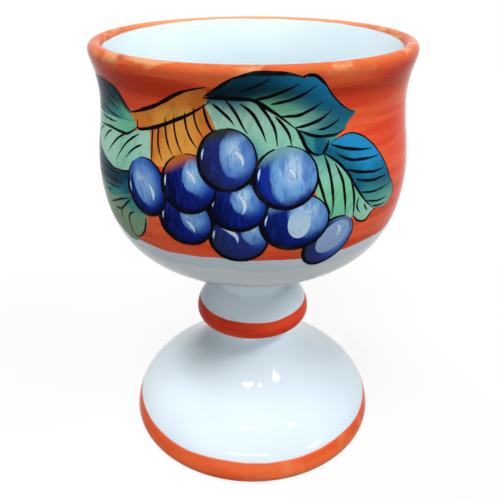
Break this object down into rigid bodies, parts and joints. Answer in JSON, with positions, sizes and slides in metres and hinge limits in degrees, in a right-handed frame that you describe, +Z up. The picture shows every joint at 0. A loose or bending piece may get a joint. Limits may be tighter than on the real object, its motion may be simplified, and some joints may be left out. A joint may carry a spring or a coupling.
{
  "type": "pottery goblet",
  "caption": "Glazed pottery goblet: a rounded bowl with a flared lip on a short stem with a swelling knop and a hollow domed foot.",
  "frame": {"origin": "middle of the foot's resting face", "axes": "+Z up along the goblet's axis, towards the lip; the painted front faces -Y"},
  "size_m": [0.0998, 0.0998, 0.1415],
  "materials": {
    "clay": "bare fired earthenware",
    "slip": "fired slip",
    "white_glaze": "glossy white tin glaze",
    "orange_glaze": "glossy brushed orange glaze"
  },
  "bodies": {
    "root": {"bowl": "clay", "stem": "clay", "knop": "clay", "foot": "clay", "bowl_joint": "slip", "foot_joint": "slip", "knop_joint": "slip", "inside_glaze": "white_glaze", "waist_glaze": "white_glaze", "foot_glaze": "white_glaze", "hollow_glaze": "white_glaze", "bowl_band": "orange_glaze", "knop_band": "orange_glaze", "foot_band": "orange_glaze"}
  },
  "joints": []
}
